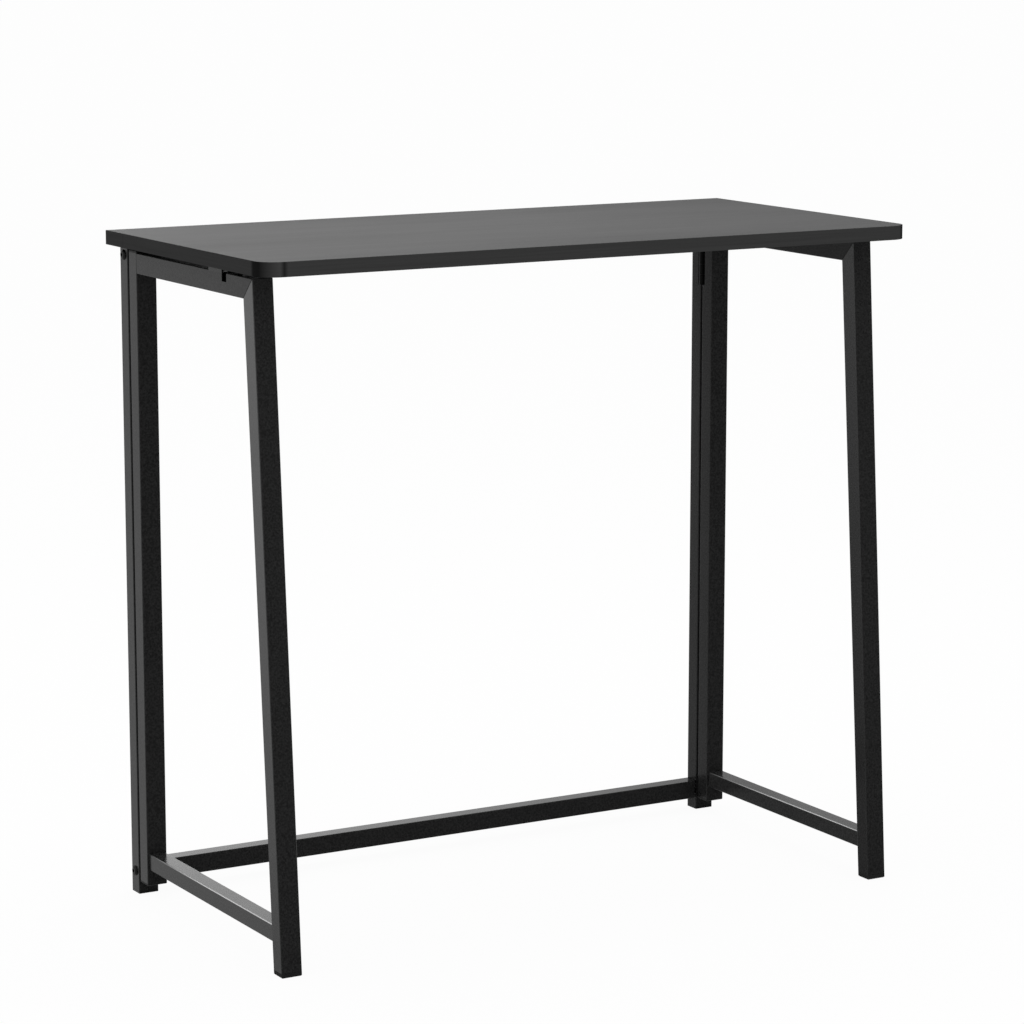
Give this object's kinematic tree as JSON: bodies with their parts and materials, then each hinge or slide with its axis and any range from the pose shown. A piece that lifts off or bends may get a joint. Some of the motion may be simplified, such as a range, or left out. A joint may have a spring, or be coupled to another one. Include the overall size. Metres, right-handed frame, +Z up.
{
  "type": "folding desk",
  "caption": "Black folding desk: a wood-grain board on a square-tube frame, with leaning front legs and side frames that fold in flat against the rear frame.",
  "frame": {"origin": "on the floor, at the middle of the overall box", "axes": "+X to the right along the desk, +Y from front to rear, +Z up"},
  "size_m": [0.8, 0.4064, 0.75],
  "materials": {
    "frame_paint": "fine semi-gloss powder coat",
    "hinge_black": "black coated sheet steel",
    "bolt_black": "black oxide",
    "pin_steel": "plain steel",
    "black_plastic": "moulded, fine matt",
    "top_laminate": "black melamine with a fine wood grain along the desk",
    "backing_laminate": "plain black melamine backing",
    "edge_band": "satin edge band",
    "board_core": "raw particle board"
  },
  "bodies": {
    "rear_frame": {"top_rear_rail": "frame_paint", "bottom_stretcher": "frame_paint", "cross_tube_end_plates": "pin_steel", "frame_bolts": "bolt_black", "rail_leaf_rivets": "pin_steel", "board_hinge_pins": "pin_steel", "left_post": "frame_paint", "left_post_foot": "black_plastic", "left_post_cap": "black_plastic", "left_upper_hinge_post_leaf": "hinge_black", "left_lower_hinge_post_leaf": "hinge_black", "left_side_hinge_pins": "pin_steel", "left_rail_hinge_leaf": "hinge_black", "right_post": "frame_paint", "right_post_foot": "black_plastic", "right_post_cap": "black_plastic", "right_upper_hinge_post_leaf": "hinge_black", "right_lower_hinge_post_leaf": "hinge_black", "right_side_hinge_pins": "pin_steel", "right_rail_hinge_leaf": "hinge_black"},
    "left_frame": {"left_upright": "frame_paint", "left_upright_plugs": "black_plastic", "left_side_rail": "frame_paint", "left_support_lug": "frame_paint", "left_front_leg": "frame_paint", "left_foot_cap": "black_plastic", "left_low_rail": "frame_paint", "left_upper_hinge_frame_leaf": "hinge_black", "left_lower_hinge_frame_leaf": "hinge_black"},
    "right_frame": {"right_upright": "frame_paint", "right_upright_plugs": "black_plastic", "right_side_rail": "frame_paint", "right_support_lug": "frame_paint", "right_front_leg": "frame_paint", "right_foot_cap": "black_plastic", "right_low_rail": "frame_paint", "right_upper_hinge_frame_leaf": "hinge_black", "right_lower_hinge_frame_leaf": "hinge_black"},
    "desktop": {"board_core": "board_core", "top_laminate": "top_laminate", "backing_laminate": "backing_laminate", "edge_band": "edge_band", "board_leaf_screws": "bolt_black", "catch_screws": "bolt_black", "left_board_hinge_leaf": "hinge_black", "left_catch": "hinge_black", "right_board_hinge_leaf": "hinge_black", "right_catch": "hinge_black"}
  },
  "joints": [
    {"name": "left_frame_fold", "type": "hinge", "parent": "rear_frame", "child": "left_frame", "pos_m": [-0.3626, 0.164, 0.36], "axis": [0, 0, 1], "range_deg": [0, 90]},
    {"name": "right_frame_fold", "type": "hinge", "parent": "rear_frame", "child": "right_frame", "pos_m": [0.3626, 0.164, 0.36], "axis": [0, 0, -1], "range_deg": [0, 90]},
    {"name": "desktop_flip", "type": "hinge", "parent": "rear_frame", "child": "desktop", "pos_m": [0, 0.2, 0.7377], "axis": [-1, 0, 0], "range_deg": [0, 270]}
  ]
}
